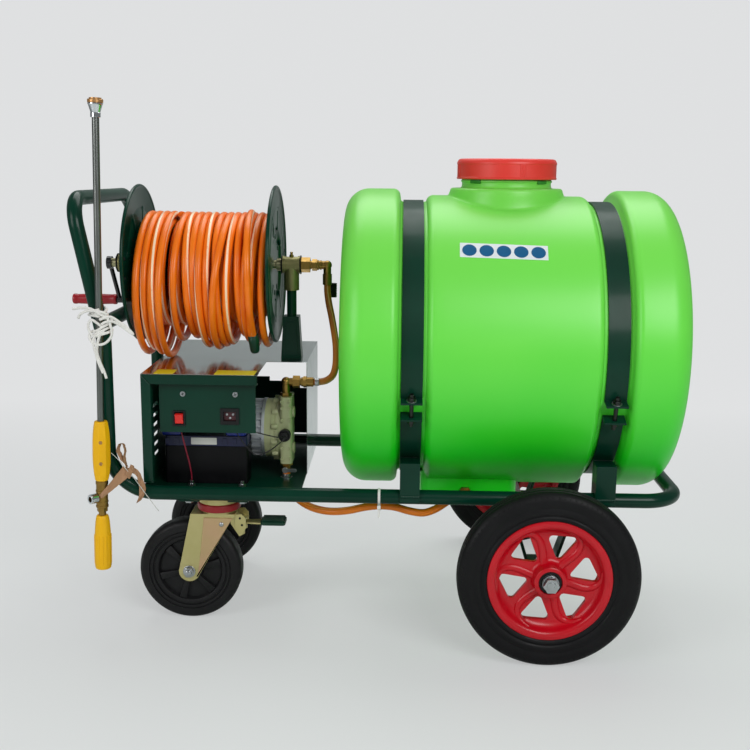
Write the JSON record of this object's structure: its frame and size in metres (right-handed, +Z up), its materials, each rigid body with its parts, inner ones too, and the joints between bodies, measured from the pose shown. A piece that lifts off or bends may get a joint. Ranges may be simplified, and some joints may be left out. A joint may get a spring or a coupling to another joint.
{
  "type": "wheeled sprayer cart",
  "caption": "Hand cart that carries a strapped spray tank, an electric pump box, a hose reel with a crank and a spray lance.",
  "frame": {"origin": "on the floor under the middle of the cart's overall box", "axes": "+X to the front, where the tank is; +Y to the far side; +Z up"},
  "size_m": [1.257, 0.746, 1.017],
  "materials": {
    "green_paint": "gloss",
    "zinc": "yellow passivated",
    "steel": "plain",
    "cover_sheet": "smooth",
    "brass": "machined",
    "bearing_metal": "plated",
    "motor_alloy": "cast",
    "pump_casting": "khaki lacquer",
    "nozzle_metal": "bright",
    "tank_plastic": "satin",
    "red_plastic": "satin",
    "red_paint": "gloss",
    "yellow_plastic": "satin",
    "black_plastic": "satin",
    "blue_plastic": "satin",
    "strainer_plastic": "satin",
    "tyre_rubber": "matt",
    "wheel_rubber": "matt",
    "seal_rubber": "satin",
    "hose_rubber": "satin",
    "lead_sheath": "satin",
    "white_cord": "plain"
  },
  "bodies": {
    "chassis": {"frame_tube": "green_paint", "crossbars": "green_paint", "handle_brace": "green_paint", "axle_brackets": "green_paint", "front_axle": "steel", "box_floor": "green_paint", "box_casing": "green_paint", "box_cover": "cover_sheet", "control_panel": "green_paint", "fasteners": "steel", "panel_fittings": "black_plastic", "battery_case": "black_plastic", "battery_lid": "blue_plastic", "wiring": "lead_sheath", "motor_body": "motor_alloy", "pump_head": "pump_casting", "outlet_fitting": "brass", "inlet_fitting": "brass", "pressure_switch": "black_plastic", "delivery_hose": "hose_rubber", "suction_hose": "hose_rubber", "reel_post": "green_paint", "bearing_front": "bearing_metal", "bearing_rear": "bearing_metal", "swivel_elbow": "brass", "tank_shell": "tank_plastic", "tank_outlet": "brass", "straps_upper": "green_paint", "straps_lower": "green_paint", "strap_posts": "green_paint", "strap_bolts": "steel", "lance_tube": "steel", "lance_nozzle": "nozzle_metal", "lance_grip_front": "yellow_plastic", "lance_valve": "brass", "ties": "white_cord", "hose_slack": "hose_rubber", "caster_plates": "zinc", "caster_seals": "seal_rubber"},
    "switch": {"switch_rocker": "red_plastic"},
    "cock_lever": {"valve_lever": "steel"},
    "lance_rear_grip": {"lance_grip_rear": "yellow_plastic"},
    "strainer": {"strainer_basket": "strainer_plastic"},
    "lid": {"tank_lid": "red_plastic"},
    "reel": {"reel_drum": "green_paint", "reel_flanges": "green_paint", "reel_spindle": "zinc", "crank_arm": "black_plastic", "hose_winding": "hose_rubber"},
    "crank_handle": {"crank_grip": "red_plastic"},
    "front_wheel_near": {"rim_near": "red_paint", "tyre_near": "tyre_rubber"},
    "front_wheel_far": {"rim_far": "red_paint", "tyre_far": "tyre_rubber"},
    "caster_near": {"fork_near": "zinc"},
    "caster_far": {"fork_far": "zinc"},
    "caster_roller_near": {"caster_wheel_near": "wheel_rubber"},
    "caster_roller_far": {"caster_wheel_far": "wheel_rubber"},
    "brake_pedal_near": {"brake_near": "green_paint"},
    "brake_pedal_far": {"brake_far": "green_paint"}
  },
  "joints": [
    {"name": "front_wheel_near_spin", "type": "hinge", "parent": "chassis", "child": "front_wheel_near", "pos_m": [0.3495, -0.325, 0.168], "axis": [0, 1, 0], "continuous": true},
    {"name": "caster_near_swivel", "type": "hinge", "parent": "chassis", "child": "caster_near", "pos_m": [-0.2855, -0.143, 0.224], "axis": [0, 0, 1], "continuous": true},
    {"name": "caster_roller_near_spin", "type": "hinge", "parent": "caster_near", "child": "caster_roller_near", "pos_m": [-0.3435, -0.143, 0.103], "axis": [0, 1, 0], "continuous": true},
    {"name": "brake_near_pivot", "type": "hinge", "parent": "caster_near", "child": "brake_pedal_near", "pos_m": [-0.2415, -0.143, 0.201], "axis": [0, 1, 0], "range_deg": [0, 12]},
    {"name": "front_wheel_far_spin", "type": "hinge", "parent": "chassis", "child": "front_wheel_far", "pos_m": [0.3495, 0.325, 0.168], "axis": [0, 1, 0], "continuous": true},
    {"name": "caster_far_swivel", "type": "hinge", "parent": "chassis", "child": "caster_far", "pos_m": [-0.2855, 0.143, 0.224], "axis": [0, 0, 1], "continuous": true},
    {"name": "caster_roller_far_spin", "type": "hinge", "parent": "caster_far", "child": "caster_roller_far", "pos_m": [-0.3435, 0.143, 0.103], "axis": [0, 1, 0], "continuous": true},
    {"name": "brake_far_pivot", "type": "hinge", "parent": "caster_far", "child": "brake_pedal_far", "pos_m": [-0.2415, 0.143, 0.201], "axis": [0, 1, 0], "range_deg": [0, 12]},
    {"name": "reel_spin", "type": "hinge", "parent": "chassis", "child": "reel", "pos_m": [0, 0, 0.704], "axis": [1, 0, 0], "continuous": true},
    {"name": "crank_grip_spin", "type": "hinge", "parent": "reel", "child": "crank_handle", "pos_m": [-0.52819, 0.06467, 0.62002], "axis": [1, 0, 0], "continuous": true},
    {"name": "strainer_lift", "type": "slide", "parent": "chassis", "child": "strainer", "axis": [0, 0, 1], "range_m": [0, 0.25]},
    {"name": "lid_turn", "type": "hinge", "parent": "strainer", "child": "lid", "pos_m": [0.2805, 0, 0.907], "axis": [0, 0, 1], "continuous": true},
    {"name": "switch_rock", "type": "hinge", "parent": "chassis", "child": "switch", "pos_m": [-0.3515, -0.187, 0.423], "axis": [-1, 0, 0], "range_deg": [0, 18]},
    {"name": "cock_turn", "type": "hinge", "parent": "chassis", "child": "cock_lever", "pos_m": [-0.156, -0.116, 0.3005], "axis": [0, -1, 0], "range_deg": [0, 90]},
    {"name": "lance_grip_turn", "type": "hinge", "parent": "chassis", "child": "lance_rear_grip", "pos_m": [-0.4965, -0.239, 0.134], "axis": [0.0244, 0, 0.9997], "range_deg": [0, 180]}
  ]
}
